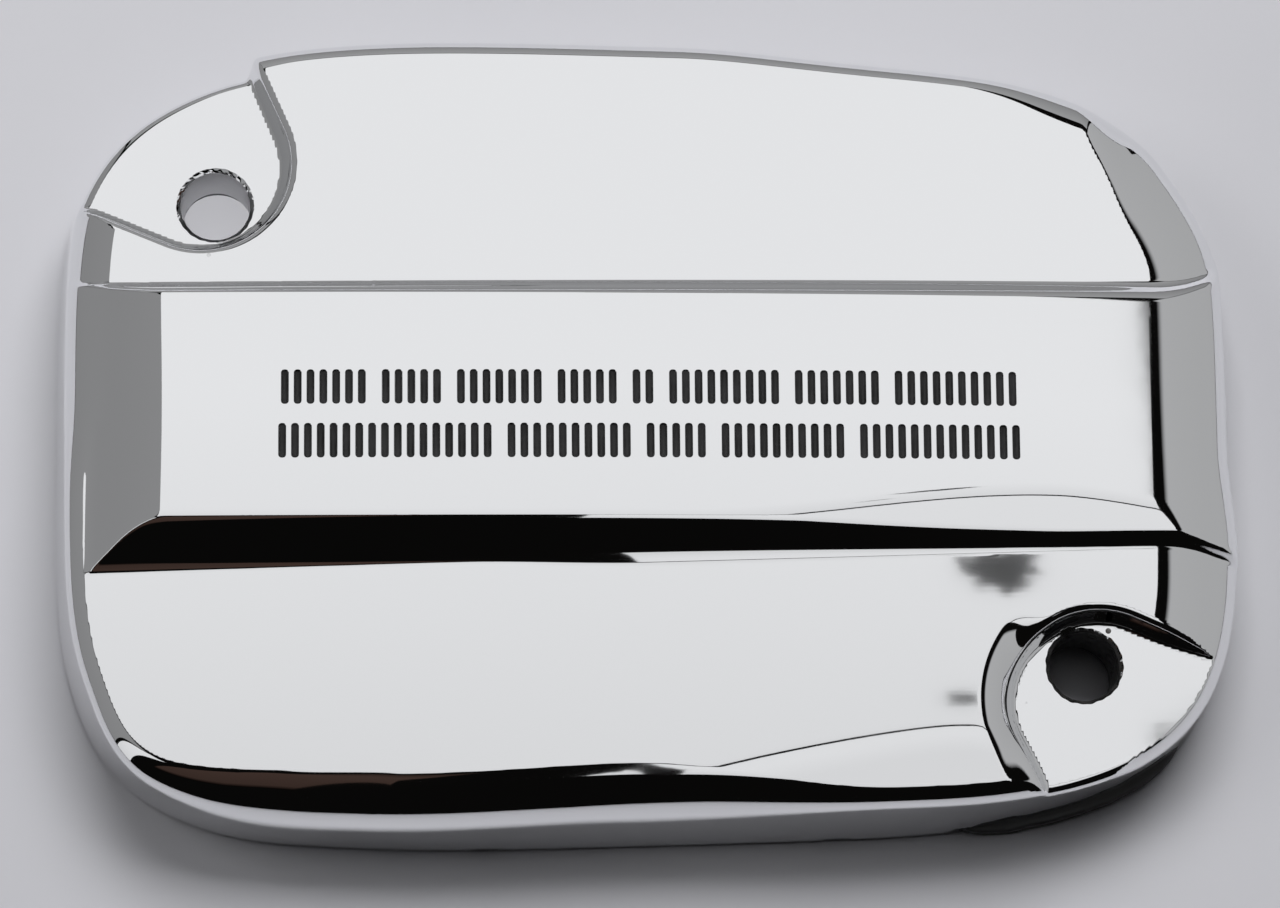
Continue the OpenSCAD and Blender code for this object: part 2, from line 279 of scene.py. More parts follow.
def solid(f, x, y, z, crown_scale, hollow_scale):
    """Signed field of the cover without its screw holes and marks, negative in the metal."""
    crown, hollow, ear, inset = f
    out = (z - crown) * crown_scale
    cavity = soft_max((z - hollow) * hollow_scale, BOSS_WALL - ear, 1.2)
    seat = soft_max(z - SEAT_Z, LIP_W - inset, 0.2)
    arch = soft_max(z - ARCH_Z, np.hypot(x - ARCH_CENTRE[0], y - ARCH_CENTRE[1]) - ARCH_R, 0.6)
    out = soft_max(out, -cavity, 0.5)
    out = soft_max(out, -seat, 0.25)
    out = soft_max(out, -arch, 0.25)
    out = soft_max(out, RIM_Z - z, 0.3)
    for at in NOTCH_X:
        notch = np.maximum(np.abs(x - at) - NOTCH_HALF_W, np.maximum(z - RIM_Z - NOTCH_H, y + 26))
        out = soft_max(out, -notch, 0.15)
    return out


def slope_scale(h0, hx, hy, step):
    """Turns a vertical gap to a height field into a distance, from its slopes along X and Y."""
    return 1 / np.sqrt(1 + ((hx - h0) / step) ** 2 + ((hy - h0) / step) ** 2)


def field_and_normal(p):
    """The cover's field, its unit gradient and the gradient's size at points p."""
    x, y, z = p.T
    step = 0.004
    f0, fx, fy = fields(x, y), fields(x + step, y), fields(x, y + step)
    scales = [slope_scale(f0[k], fx[k], fy[k], step) for k in (0, 1)]
    v0 = solid(f0, x, y, z, *scales)
    rise = [solid(fx, x + step, y, z, *scales) - v0, solid(fy, x, y + step, z, *scales) - v0,
            solid(f0, x, y, z + step, *scales) - v0]
    g = np.stack(rise, axis=1) / step
    size = np.linalg.norm(g, axis=1)
    return v0, g / np.maximum(size, 1e-9)[:, None], size


def surface_nets(values, low, step):
    """Quad mesh of the zero level of a grid of values."""
    nx, ny, nz = values.shape
    inside = values < 0
    count = np.zeros((nx - 1, ny - 1, nz - 1), np.int8)
    corners = [(i, j, k) for i in (0, 1) for j in (0, 1) for k in (0, 1)]
    for i, j, k in corners:
        count += inside[i:nx - 1 + i, j:ny - 1 + j, k:nz - 1 + k]
    cell = np.argwhere((count > 0) & (count < 8))
    ids = np.full(count.shape, -1, np.int32)
    ids[tuple(cell.T)] = np.arange(len(cell), dtype=np.int32)
    total = np.zeros((len(cell), 3))
    hits = np.zeros(len(cell))
    for c0 in corners:
        for axis in range(3):
            if c0[axis]:
                continue
            c1 = list(c0)
            c1[axis] = 1
            a = values[tuple((cell + c0).T)]
            b = values[tuple((cell + c1).T)]
            cut = (a < 0) != (b < 0)
            t = np.where(cut, a / np.where(cut, a - b, 1), 0)
            point = np.tile(np.array(c0, float), (len(cell), 1))
            point[:, axis] = t
            total[cut] += point[cut]
            hits += cut
    verts = low + (cell + total / hits[:, None]) * step
    quads = []
    for axis in range(3):
        u, v = [(1, 2), (2, 0), (0, 1)][axis]
        lo = [slice(1, n - 1) for n in values.shape]
        hi = [slice(1, n - 1) for n in values.shape]
        lo[axis] = slice(0, values.shape[axis] - 1)
        hi[axis] = slice(1, values.shape[axis])
        a, b = inside[tuple(lo)], inside[tuple(hi)]
        at = np.argwhere(a != b)
        flip = b[tuple(at.T)]
        at[:, u] += 1
        at[:, v] += 1
        ring = []
        for du, dv in ((-1, -1), (0, -1), (0, 0), (-1, 0)):
            c = at.copy()
            c[:, u] += du
            c[:, v] += dv
            ring.append(ids[tuple(c.T)])
        q = np.stack(ring, axis=1)
        q[flip] = q[flip][:, ::-1]
        quads.append(q)
    return verts, np.concatenate(quads)


def cover_surface():
    """Quads on the cover's zero level, pulled onto it after the grid has placed them roughly."""
    pad = 0.8
    low = np.array([-HALF_L - pad, -HALF_W - pad - 0.4, -0.5])
    high = np.array([HALF_L + pad, HALF_W + pad + 0.4, CROWN_Z + BAND_H + pad])
    n = np.ceil((high - low) / GRID).astype(int) + 1
    x, y, z = (low[k] + GRID * np.arange(n[k]) for k in range(3))
    gx, gy = np.meshgrid(x, y, indexing="ij")
    step = 0.01
    f0, fx, fy = fields(gx, gy), fields(gx + step, gy), fields(gx, gy + step)
    scales = [slope_scale(f0[k], fx[k], fy[k], step)[..., None] for k in (0, 1)]
    columns = tuple(f[..., None] for f in f0)
    values = solid(columns, gx[..., None], gy[..., None], z[None, None, :], *scales)
    verts, quads = surface_nets(values, low, GRID)
    for _ in range(4):
        v, g, size = field_and_normal(verts)
        move = np.clip(v / np.maximum(size, 0.3), -0.5 * GRID, 0.5 * GRID)
        verts = verts - g * move[:, None]
    return verts, quads


def mesh_object(name, verts, faces):
    """Blender object from points in millimetres and faces of equal size."""
    mesh = bpy.data.meshes.new(name)
    mesh.vertices.add(len(verts))
    mesh.vertices.foreach_set("co", (np.asarray(verts, float) * MM).ravel())
    faces = np.asarray(faces)
    size = faces.shape[1]
    mesh.loops.add(faces.size)
    mesh.loops.foreach_set("vertex_index", faces.ravel())
    mesh.polygons.add(len(faces))
    mesh.polygons.foreach_set("loop_start", np.arange(len(faces)) * size)
    mesh.update(calc_edges=True)
    mesh.validate()
    obj = bpy.data.objects.new(name, mesh)
    scene.collection.objects.link(obj)
    return obj


# ---------------------------------------------------------------- engraved marks
MARK_H = 2.6
MARK_W = 0.5
MARK_PITCH = 0.98
MARK_DEPTH = 0.4
GROUP_GAP = 0.85
MARK_ROWS = {
    "mark_fill_upper_row": ((7, 5, 7, 5, 2, 9, 7, 10), 2.25),
    "mark_fill_lower_row": ((17, 10, 5, 10, 13), -1.95),
}
MARK_ZONE_X = 30
MARK_ZONE_Y = (-4, 5)


def mark_places(groups, row_y):
    """Middle of each mark of a row that is centred on the cover."""
    row_l = sum(groups) * MARK_PITCH + (len(groups) - 1) * GROUP_GAP
    x = -row_l / 2
    places = []
    for group in groups:
        for _ in range(group):
            places.append((x + MARK_PITCH / 2, row_y))
            x += MARK_PITCH
        x += GROUP_GAP
    return places


def mark_outline(grow=0.0, corner=0.2, arc=4):
    """Rounded upright bar, as points about its middle."""
    half_w, half_h = MARK_W / 2 + grow, MARK_H / 2 + grow
    corner = max(corner + grow, 0.05)
    points = []
    for cx, cy, start in ((1, 1, 0), (-1, 1, 90), (-1, -1, 180), (1, -1, 270)):
        for k in range(arc + 1):
            a = math.radians(start + 90 * k / arc)
            points.append((cx * (half_w - corner) + corner * math.cos(a),
                           cy * (half_h - corner) + corner * math.sin(a)))
    return np.array(points)


def band_surface(x, y):
    return fields(np.asarray(x, float), np.asarray(y, float))[0]


def stacked_rings(rings, close_low=True, close_high=True):
    """Verts and triangles of a closed tube through rings of equal point count."""
    n = len(rings[0])
    verts = np.concatenate(rings)
    tris = []
    for k in range(len(rings) - 1):
        for j in range(n):
            a, b = k * n + j, k * n + (j + 1) % n
            c, d = a + n, b + n
            tris += [(a, b, d), (a, d, c)]
    extra = []
    if close_low:
        extra.append(rings[0].mean(0))
        hub = len(verts)
        tris += [(hub, (j + 1) % n, j) for j in range(n)]
    if close_high:
        extra.append(rings[-1].mean(0))
        hub = len(verts) + len(extra) - 1
        base = (len(rings) - 1) * n
        tris += [(hub, base + j, base + (j + 1) % n) for j in range(n)]
    if extra:
        verts = np.concatenate([verts, np.array(extra)])
    return verts, np.array(tris)


def join_meshes(parts):
    verts, tris, base = [], [], 0
    for v, t in parts:
        verts.append(v)
        tris.append(t + base)
        base += len(v)
    return np.concatenate(verts), np.concatenate(tris)


def mark_cutters():
    """Pockets for all marks, a little wider at the surface."""
    parts = []
    for groups, row_y in MARK_ROWS.values():
        for x, y in mark_places(groups, row_y):
            rim = mark_outline()
            wide = mark_outline(0.06)
            top = band_surface(x + rim[:, 0], y + rim[:, 1])
            floor = np.full(len(rim), band_surface(x, y) - MARK_DEPTH)
            lines = [(rim, floor), (rim, top - 0.06), (wide, top + 0.01), (wide, top + 1)]
            rings = [np.column_stack([x + o[:, 0], y + o[:, 1], h]) for o, h in lines]
            parts.append(stacked_rings(rings))
    return join_meshes(parts)


def mark_fill(node):
    """Enamel of one row, sunk by a slightly different amount in each mark."""
    groups, row_y = MARK_ROWS[node]
    rng = np.random.default_rng(len(groups))
    parts = []
    for x, y in mark_places(groups, row_y):
        surface = float(band_surface(x, y))
        sunk = 0.05 + 0.03 * rng.random()
        steps = ((-0.005, -MARK_DEPTH + 0.01), (-0.005, -0.055), (-0.05, -sunk - 0.02),
                 (-0.14, -sunk - 0.045))
        rings = []
        for grow, up in steps:
            o = mark_outline(grow)
            z = band_surface(x + o[:, 0], y + o[:, 1]) + up if up > -0.2 else np.full(len(o), surface + up)
            rings.append(np.column_stack([x + o[:, 0], y + o[:, 1], z]))
        parts.append(stacked_rings(rings))
    verts, tris = join_meshes(parts)
    obj = mesh_object(node.replace("mark_fill", "enamel"), verts, tris)
    bevel_shade(obj, 40)
    return obj


def bevel_shade(obj, angle):
    """Smooth shading that keeps edges over angle degrees sharp."""
    mesh = obj.data
    mesh.shade_smooth()
    mesh.set_sharp_from_angle(angle=math.radians(angle))


# ---------------------------------------------------------------- chrome cover
def hole_cutters():
    """The two screw holes, with a slightly uneven countersunk edge."""
    parts = []
    rng = np.random.default_rng(5)
    n = 96
    a = np.linspace(0, 2 * math.pi, n, endpoint=False)
    for centre in HOLES:
        burr = sum(0.03 * rng.random() * np.cos(k * a + rng.random() * 7) for k in (2, 3, 5, 9, 14, 23))
        rings = []
        for r, z, rough in ((HOLE_R, -1, 0), (HOLE_R, EAR_Z - 0.34, 0.3), (HOLE_R + 0.12, EAR_Z - 0.2, 0.6),
                            (HOLE_EDGE_R, EAR_Z, 1), (HOLE_EDGE_R + 0.4, EAR_Z + 0.4, 1)):
            radius = r + rough * burr
            rings.append(np.column_stack([centre[0] + radius * np.cos(a), centre[1] + radius * np.sin(a),
                                          np.full(n, z)]))
        parts.append(stacked_rings(rings))
    return join_meshes(parts)


def cut(obj, cutter_mesh, name):
    """Takes a closed mesh out of obj."""
    cutter = mesh_object(name, *cutter_mesh)
    modifier = obj.modifiers.new("cut", "BOOLEAN")
    modifier.operation = "DIFFERENCE"
    modifier.solver = "MANIFOLD"
    modifier.object = cutter
    bpy.context.view_layer.objects.active = obj
    with bpy.context.temp_override(object=obj, active_object=obj, selected_objects=[obj]):
        bpy.ops.object.modifier_apply(modifier=modifier.name)
    bpy.data.objects.remove(cutter)


def read_all(items, attribute, width, kind=float):
    """One attribute of all items of a mesh, as an array with width columns."""
    values = np.zeros(len(items) * width, kind)
    items.foreach_get(attribute, values)
    return values.reshape(-1, width) if width > 1 else values


def in_mark_zone(x, y):
    """Whether points in plan are on or between the marks."""
    return (np.abs(x) < MARK_ZONE_X) & (y > MARK_ZONE_Y[0]) & (y < MARK_ZONE_Y[1])


def set_cover_normals(obj):
    """Shading from the formula; holes and marks keep the normals of their own faces."""
    mesh = obj.data
    verts = read_all(mesh.vertices, "co", 3) / MM
    _, smooth, _ = field_and_normal(verts)
    loop_v = read_all(mesh.loops, "vertex_index", 1, np.int32)
    loop_face = np.repeat(np.arange(len(mesh.polygons)), read_all(mesh.polygons, "loop_total", 1, np.int32))
    n = smooth[loop_v]
    fn = read_all(mesh.polygons, "normal", 3)[loop_face]
    p = verts[loop_v]
    near_hole = HOLE_EDGE_R + 0.6
    at_cut = (hole_distance(p[:, 0], p[:, 1]) < near_hole) | in_mark_zone(p[:, 0], p[:, 1])
    agree = (n * fn).sum(1)
    own = (agree < 0.2) | ((agree < 0.75) & at_cut)
    n[own] = fn[own]
    for centre in HOLES:
        offset = p[:, :2] - centre
        rho = np.linalg.norm(offset, axis=1)
        bore = own & (rho < near_hole) & (p[:, 2] < EAR_Z + 0.5)
        radial = -offset / np.maximum(rho, 1e-6)[:, None]
        tilt = np.clip(fn[:, 2], 0, 1)
        flat = np.sqrt(1 - tilt ** 2)
        round_bore = np.column_stack([radial * flat[:, None], tilt])
        n[bore] = round_bore[bore]
    mesh.shade_smooth()
    mesh.normals_split_custom_set(n)


def paint_cover(obj, outside, inside, shaded_bore):
    """Bright plating outside, dull as-cast metal deep under the crown, and the right-hand bore coloured near
    black as painted shade.
    """
    mesh = obj.data
    mesh.materials.clear()
    for material in (outside, inside, shaded_bore):
        mesh.materials.append(material)
    x, y, z = (read_all(mesh.polygons, "center", 3) / MM).T
    crown, _, _, inset = fields(x, y)
    under = (crown - z > 0.6) & (inset > 0.6 + (z - RIM_Z) * LEAN)
    deep = np.where(in_mark_zone(x, y), crown - z > 1, under)
    # Painted shade: the right-hand bore is coloured near black to stand for the shade inside it.
    bore_shade = (hole_distance(x, y) < HOLE_R + 0.25) & (x > 0) & (z < EAR_Z - 0.1)
    mesh.polygons.foreach_set("material_index", np.where(bore_shade, 2, deep).astype(np.int32))


# ---------------------------------------------------------------- rubber diaphragm
BELLOWS_A = 31.0
BELLOWS_B = 20.0
BELLOWS_POWER = 3
BELLOWS_Z = 1.0
BELLOWS_T = 0.7
FOLDS = 5
FOLD_H = 0.7
FOLD_W = 1.5
FLOOR_Z = BELLOWS_Z + FOLDS * FOLD_H
FLOOR_T = 0.9
FLANGE_T = 2.0
FLANGE_GAP = 0.3
EAR_OVERHANG = 0.6
GROOVE_HALF_W = 0.8
GROOVE_H = 0.35
OUTER_GROOVE_IN = 5.2
INNER_GROOVE_OUT = 2.2


def bellows_r(a):
    """Distance from the centre to the bellows wall, in the direction a."""
    along, across = np.abs(np.cos(a)) / BELLOWS_A, np.abs(np.sin(a)) / BELLOWS_B
    return (along ** BELLOWS_POWER + across ** BELLOWS_POWER) ** (-1 / BELLOWS_POWER)


def flange_field(x, y, z):
    """Signed field of the flange: a plate inside the lip, the edge that looks out at the ear, two grooves."""
    inset, a = outline_inset(x, y)
    inset = inset - skirt_draw_in(x, y, a, ear_distance(x, y))
    hole = hole_distance(x, y)
    ragged = 0.05 * np.sin(1.9 * x + 0.7 * y) * np.sin(0.83 * y - 0.5 * x)
    body = LIP_W + FLANGE_GAP - inset
    plate = soft_max(body, np.abs(z - FLANGE_T / 2) - FLANGE_T / 2, 0.5)
    near_ear = np.hypot(x - ARCH_CENTRE[0], y - ARCH_CENTRE[1])
    ear = soft_max(-EAR_OVERHANG + 0.05 - inset + ragged, near_ear - (ARCH_R - FLANGE_GAP), 1.5)
    ear_top = ARCH_Z - FLANGE_GAP
    ear = soft_max(ear, np.abs(z - ear_top / 2) - ear_top / 2, 0.4)
    out = soft_min(plate, ear, 0.4)
    rho = np.hypot(x, y)
    opening = bellows_r(a) + BELLOWS_T / 2 - rho
    out = soft_max(out, opening, 0.3)
    out = soft_max(out, HOLE_R + 0.3 - hole, 0.4)
    keep = HOLE_R + 2.5 - hole
    for away in (inset - OUTER_GROOVE_IN, rho - bellows_r(a) - INNER_GROOVE_OUT):
        groove = soft_max(np.abs(away) - GROOVE_HALF_W, np.abs(z) - GROOVE_H, 0.3)
        out = soft_max(out, -soft_max(groove, keep, 0.3), 0.2)
    return out


def value_and_gradient(field, verts, step=0.01):
    v = field(*verts.T)
    return v, np.stack([field(*(verts + step * e).T) - v for e in np.eye(3)], axis=1) / step


def pull_to_zero(verts, field, rounds, limit):
    """Moves points onto the field's zero level; also returns the normals there."""
    for _ in range(rounds):
        v, g = value_and_gradient(field, verts)
        size = np.maximum((g ** 2).sum(1), 0.09)
        verts = verts - g * np.clip(v / size, -limit, limit)[:, None]
    _, g = value_and_gradient(field, verts)
    return verts, g / np.maximum(np.linalg.norm(g, axis=1), 1e-9)[:, None]


def flange_piece():
    step = 0.4
    steps = np.array([step, step, 0.2])
    low = np.array([-HALF_L - 1.2, -HALF_W - 1.6, -0.45])
    size = np.array([2 * HALF_L + 2.4, 2 * HALF_W + 3.2, FLANGE_T + 0.9])
    n = np.ceil(size / steps).astype(int) + 1
    axes = [low[k] + steps[k] * np.arange(n[k]) for k in range(3)]
    gx, gy, gz = np.meshgrid(*axes, indexing="ij")
    verts, quads = surface_nets(flange_field(gx, gy, gz), low, steps)
    verts, normals = pull_to_zero(verts, flange_field, 3, 0.1)
    verts[:, 2] = np.maximum(verts[:, 2], 0)
    obj = mesh_object("rubber_flange", verts, quads)
    obj.data.shade_smooth()
    obj.data.normals_split_custom_set_from_vertices(normals)
    return obj


def polar_rings(section, spokes=240):
    """Rings of points that follow the bellows outline; section holds (inset, height) pairs."""
    a = np.linspace(0, 2 * math.pi, spokes, endpoint=False)
    r = bellows_r(a)
    return [np.column_stack([(r - inset) * np.cos(a), (r - inset) * np.sin(a), np.full(spokes, height)])
            for inset, height in section]


def bellows_piece():
    """Folded wall: a wave in section, carried round the outline."""
    t = np.linspace(0, FOLDS, 61)
    wave = FOLD_W / 2 * (1 - np.cos(math.pi * t))
    h = BELLOWS_Z + t * FOLD_H
    outer = list(zip(wave - 0.3, h))
    inner = list(zip(wave + 0.3, h))
    section = outer + inner[::-1]
    verts, tris = stacked_rings(polar_rings(section + section[:1]), False, False)
    spokes = len(verts) // (len(section) + 1)
    last = len(section) * spokes
    tris = np.where(tris >= last, tris - last, tris)
    obj = mesh_object("rubber_bellows", verts[:last], tris)
    bevel_shade(obj, 50)
    return obj


def ring_bead(z, dish, shoulder):
    """Section of a floor's face from its dished middle out over the ring bead, whose top is at height z."""
    return [(17.5, z + dish), (12, z + dish), (11.2, z + shoulder), (10.8, z), (9.4, z), (9, z + shoulder),
            (8, z + dish)]


def floor_piece():
    """Moving floor: a plate with a rounded edge, a shallow ring bead and a dished middle."""
    low, high = FLOOR_Z, FLOOR_Z + FLOOR_T
    edge = FOLD_W - BELLOWS_T / 2
    low_edge = [(edge + 1.2, low + 0.1), (edge + 0.8, low), (edge + 0.2, low), (edge + 0.05, low + 0.06),
                (edge, low + 0.2)]
    high_edge = [(edge, high - 0.25), (edge + 0.07, high - 0.08), (edge + 0.25, high), (edge + 1.4, high),
                 (edge + 1.8, high - 0.18)]
    section = ring_bead(low, 0.12, 0.1) + low_edge + high_edge + ring_bead(high, -0.2, -0.18)[::-1]
    obj = mesh_object("rubber_floor", *stacked_rings(polar_rings(section)))
    bevel_shade(obj, 35)
    return obj


# ---------------------------------------------------------------- materials
def new_material(name):
    """Material with its nodes, links, shader and object coordinates."""
    material = bpy.data.materials.new(name)
    material.use_nodes = True
    nodes = material.node_tree.nodes
    coords = nodes.new("ShaderNodeTexCoord").outputs["Object"]
    return material, nodes, material.node_tree.links, nodes["Principled BSDF"], coords


def noise(nodes, links, coords, scale, detail=3.0, stretch=(1, 1, 1)):
    mapping = nodes.new("ShaderNodeMapping")
    mapping.inputs["Scale"].default_value = stretch
    links.new(coords, mapping.inputs["Vector"])
    texture = nodes.new("ShaderNodeTexNoise")
    texture.inputs["Scale"].default_value = scale
    texture.inputs["Detail"].default_value = detail
    links.new(mapping.outputs["Vector"], texture.inputs["Vector"])
    return texture.outputs["Fac"]


def ramp(nodes, links, value, low, high, low_out=0.0, high_out=1.0):
    node = nodes.new("ShaderNodeMapRange")
    node.inputs["From Min"].default_value = low
    node.inputs["From Max"].default_value = high
    node.inputs["To Min"].default_value = low_out
    node.inputs["To Max"].default_value = high_out
    links.new(value, node.inputs["Value"])
    return node.outputs["Result"]


def mix_tones(nodes, links, shader, factor, first, second):
    """Base colour that runs from one tone to the other as factor goes from 0 to 1."""
    mix = nodes.new("ShaderNodeMix")
    mix.data_type = "RGBA"
    mix.inputs["A"].default_value = (*first, 1)
    mix.inputs["B"].default_value = (*second, 1)
    links.new(factor, mix.inputs["Factor"])
    links.new(mix.outputs["Result"], shader.inputs["Base Color"])


def math_node(nodes, links, operation, a, b):
    node = nodes.new("ShaderNodeMath")
    node.operation = operation
    for socket, value in zip(node.inputs, (a, b)):
        if isinstance(value, (int, float)):
            socket.default_value = value
        else:
            links.new(value, socket)
    return node.outputs["Value"]


def add_bump(nodes, links, height, distance, normal=None):
    bump = nodes.new("ShaderNodeBump")
    bump.inputs["Distance"].default_value = distance
    links.new(height, bump.inputs["Height"])
    if normal is not None:
        links.new(normal, bump.inputs["Normal"])
    return bump.outputs["Normal"]


def near_holes(nodes, links, coords, far, full):
    """1 within full mm of the middle of a screw hole's edge, falling to 0 at far mm."""
    total = None
    for hole in HOLES:
        shift = nodes.new("ShaderNodeVectorMath")
        shift.operation = "SUBTRACT"
        shift.inputs[1].default_value = (hole[0] * MM, hole[1] * MM, EAR_Z * MM)
        links.new(coords, shift.inputs[0])
        length = nodes.new("ShaderNodeVectorMath")
        length.operation = "LENGTH"
        links.new(shift.outputs["Vector"], length.inputs[0])
        fade = ramp(nodes, links, length.outputs["Value"], full * MM, far * MM, 1.0, 0.0)
        total = fade if total is None else math_node(nodes, links, "MAXIMUM", total, fade)
    return total


def chrome_material():
    """Bright plating over a polished casting: faint orange peel, fine scratches, a few pits by the screws."""
    material, nodes, links, shader, coords = new_material("bright_chrome")
    shader.inputs["Metallic"].default_value = 1.0
    haze = noise(nodes, links, coords, 60, 4)
    links.new(ramp(nodes, links, haze, 0.3, 0.75, 0.015, 0.05), shader.inputs["Roughness"])
    peel = noise(nodes, links, coords, 220, 2)
    hair = noise(nodes, links, coords, 900, 2, (0.06, 1, 1))
    normal = add_bump(nodes, links, peel, 0.000002)
    normal = add_bump(nodes, links, hair, 0.0000006, normal)
    pits = nodes.new("ShaderNodeTexVoronoi")
    pits.inputs["Scale"].default_value = 620
    links.new(coords, pits.inputs["Vector"])
    pick = nodes.new("ShaderNodeSeparateColor")
    links.new(pits.outputs["Color"], pick.inputs["Color"])
    size = ramp(nodes, links, pick.outputs["Red"], 0.80, 1.0, 0.0, 0.22)
    spot = math_node(nodes, links, "LESS_THAN", pits.outputs["Distance"], size)
    near = near_holes(nodes, links, coords, 5.6, 3.2)
    spot = math_node(nodes, links, "MULTIPLY", spot, near)
    dent = math_node(nodes, links, "SUBTRACT", 1.0, spot)
    normal = add_bump(nodes, links, dent, 0.00005, normal)
    links.new(normal, shader.inputs["Normal"])
    mix_tones(nodes, links, shader, spot, (0.90, 0.905, 0.915), (0.06, 0.055, 0.05))
    return material


def cast_material():
    """Underside and bores: plated over the raw casting, so dull and grainy."""
    material, nodes, links, shader, coords = new_material("dull_cast_chrome")
    shader.inputs["Metallic"].default_value = 1.0
    tone = noise(nodes, links, coords, 90, 5)
    patches = ramp(nodes, links, tone, 0.3, 0.7)
    mix_tones(nodes, links, shader, patches, (0.42, 0.42, 0.43), (0.62, 0.62, 0.63))
    links.new(ramp(nodes, links, tone, 0.3, 0.7, 0.28, 0.48), shader.inputs["Roughness"])
    grain = noise(nodes, links, coords, 1400, 4)
    normal = add_bump(nodes, links, grain, 0.00003)
    flow = noise(nodes, links, coords, 160, 3, (0.4, 1, 1))
    links.new(add_bump(nodes, links, flow, 0.00008, normal), shader.inputs["Normal"])
    return material


def bore_shade_material():
    """Painted shade: near-black colour for the inside of a bore that lies in shade."""
    material, nodes, links, shader, coords = new_material("painted_bore_shade")
    tone = noise(nodes, links, coords, 700, 4)
    patches = ramp(nodes, links, tone, 0.4, 0.75)
    mix_tones(nodes, links, shader, patches, (0.01, 0.01, 0.011), (0.05, 0.048, 0.046))
    links.new(ramp(nodes, links, tone, 0.3, 0.7, 0.2, 0.45), shader.inputs["Roughness"])
    return material


def rubber_material():
    """Matte moulded rubber with a fine grain."""
    material, nodes, links, shader, coords = new_material("moulded_rubber")
    tone = noise(nodes, links, coords, 140, 4)
    patches = ramp(nodes, links, tone, 0.3, 0.7)
    mix_tones(nodes, links, shader, patches, (0.008, 0.008, 0.009), (0.024, 0.024, 0.025))
    links.new(ramp(nodes, links, tone, 0.3, 0.7, 0.42, 0.62), shader.inputs["Roughness"])
    grain = noise(nodes, links, coords, 2200, 3)
    links.new(add_bump(nodes, links, grain, 0.00001), shader.inputs["Normal"])
    return material


def enamel_material():
    """Black paint that dried a little uneven."""
    material, nodes, links, shader, coords = new_material("black_enamel")
    tone = noise(nodes, links, coords, 500, 3)
    patches = ramp(nodes, links, tone, 0.35, 0.7)
    mix_tones(nodes, links, shader, patches, (0.004, 0.004, 0.004), (0.02, 0.02, 0.021))
    links.new(ramp(nodes, links, tone, 0.3, 0.7, 0.3, 0.55), shader.inputs["Roughness"])
    links.new(add_bump(nodes, links, noise(nodes, links, coords, 1500, 2), 0.00002), shader.inputs["Normal"])
    return material


def table_material():
    """Plain pale table top."""
    material, nodes, links, shader, coords = new_material("table")
    tone = noise(nodes, links, coords, 14, 3)
    patches = ramp(nodes, links, tone, 0.3, 0.7)
    mix_tones(nodes, links, shader, patches, (0.60, 0.60, 0.635), (0.64, 0.64, 0.675))
    shader.inputs["Roughness"].default_value = 0.7
    shader.inputs["Specular IOR Level"].default_value = 0.2
    return material


def assign(obj, material):
    obj.data.materials.clear()
    obj.data.materials.append(material)


# ---------------------------------------------------------------- build the pieces
chrome = chrome_material()
cast = cast_material()
rubber = rubber_material()
enamel = enamel_material()
# Painted shade for the inside of the right-hand bore.
bore_shade = bore_shade_material()

cover = mesh_object("chrome_cover", *cover_surface())
cut(cover, hole_cutters(), "hole_cutter")
cut(cover, mark_cutters(), "mark_cutter")
paint_cover(cover, chrome, cast, bore_shade)
set_cover_normals(cover)
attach(cover, "cover")
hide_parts("cover_shell")

for row in MARK_ROWS:
    fill = mark_fill(row)
    assign(fill, enamel)
    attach(fill, "cover")
    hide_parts(row)

flange = flange_piece()
assign(flange, rubber)
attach(flange, "diaphragm")
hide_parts("diaphragm_flange")

panel = floor_piece()
assign(panel, rubber)
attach(panel, "floor")
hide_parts("diaphragm_floor")

bellows = bellows_piece()
assign(bellows, rubber)
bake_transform(bellows)
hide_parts("diaphragm_bellows")


# ---------------------------------------------------------------- table, light and camera
TABLE_HALF = 1500


def table():
    corners = TABLE_HALF * np.array([(-1, -1, 0), (1, -1, 0), (1, 1, 0), (-1, 1, 0)])
    obj = mesh_object("table", corners, [(0, 1, 2, 3)])
    assign(obj, table_material())


def glow_material(name, colour):
    """Light of one colour, as bright as the mesh's tone attribute says."""
    material = bpy.data.materials.new(name)
    material.use_nodes = True
    nodes, links = material.node_tree.nodes, material.node_tree.links
    nodes.clear()
    emission = nodes.new("ShaderNodeEmission")
    emission.inputs["Color"].default_value = (*colour, 1)
    reader = nodes.new("ShaderNodeAttribute")
    reader.attribute_name = "tone"
    links.new(reader.outputs["Fac"], emission.inputs["Strength"])
    out = nodes.new("ShaderNodeOutputMaterial")
    links.new(emission.outputs[0], out.inputs["Surface"])
    return material


white_glow = glow_material("tent", (0.985, 0.99, 1.0))
brown_glow = glow_material("brown_cloth", (1.0, 0.62, 0.5))


def glow_sheet(name, points, tone, material=white_glow):
    """Sheet of light over a grid of points; tone is its brightness at each of them."""
    rows, columns = tone.shape
    i, j = np.meshgrid(np.arange(rows - 1), np.arange(columns - 1), indexing="ij")
    at = (i * columns + j).ravel()
    quads = np.column_stack([at, at + 1, at + columns + 1, at + columns])
    obj = mesh_object(name, points.reshape(-1, 3), quads)
    attribute = obj.data.attributes.new("tone", "FLOAT", "POINT")
    attribute.data.foreach_set("value", tone.ravel().astype(np.float32))
    assign(obj, material)
    obj.visible_camera = False
    obj.visible_shadow = False
    return obj


def tent_panel(name, azimuths, polars, tones, material=white_glow, distance=800):
    """Patch of a dome round the object, whose tones run over its polar angles (0 is straight up)."""
    az = np.linspace(*azimuths, 25)
    pol = np.linspace(polars[0], polars[-1], 40)
    tone = np.broadcast_to(np.interp(pol, polars, tones), (len(az), len(pol)))
    ga, gp = np.meshgrid(np.radians(az), np.radians(pol), indexing="ij")
    points = distance * np.stack([np.sin(gp) * np.cos(ga), np.sin(gp) * np.sin(ga), np.cos(gp)], axis=-1)
    glow_sheet(name, points, tone, material).visible_diffuse = False


